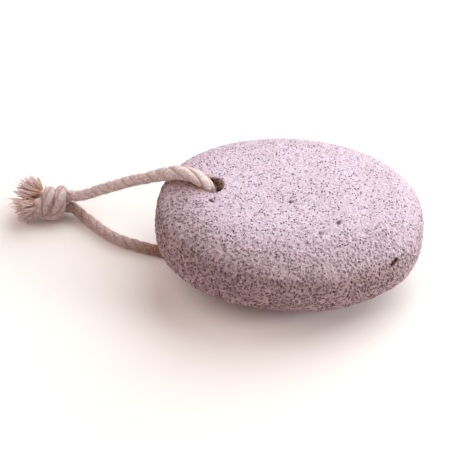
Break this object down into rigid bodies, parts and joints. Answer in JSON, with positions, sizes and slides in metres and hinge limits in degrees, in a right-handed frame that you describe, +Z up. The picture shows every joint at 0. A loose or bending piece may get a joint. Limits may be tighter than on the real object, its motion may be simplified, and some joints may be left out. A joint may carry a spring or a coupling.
{
  "type": "pumice stone",
  "caption": "Oval pebble-shaped pumice foot stone, drilled near its end, with a knotted loop of twisted cotton cord to hold or hang it by.",
  "frame": {"origin": "middle of the stone's underside: the centre of the stone's bounding box in X and Y, on the surface it lies on", "axes": "+X along the stone away from its drilled end, +Y across it, +Z up as it rests"},
  "size_m": [0.1473, 0.0664, 0.042],
  "materials": {
    "pumice": "dry, rough and full of small open pores",
    "cotton_cord": "undyed three-strand twisted cotton, matt with a light fuzz",
    "frayed_cotton": "loose undyed cotton fibres"
  },
  "bodies": {
    "root": {"pumice_stone": "pumice", "rope_loop": "cotton_cord", "rope_knot": "cotton_cord", "upper_frayed_end": "frayed_cotton", "lower_frayed_end": "frayed_cotton"}
  },
  "joints": []
}
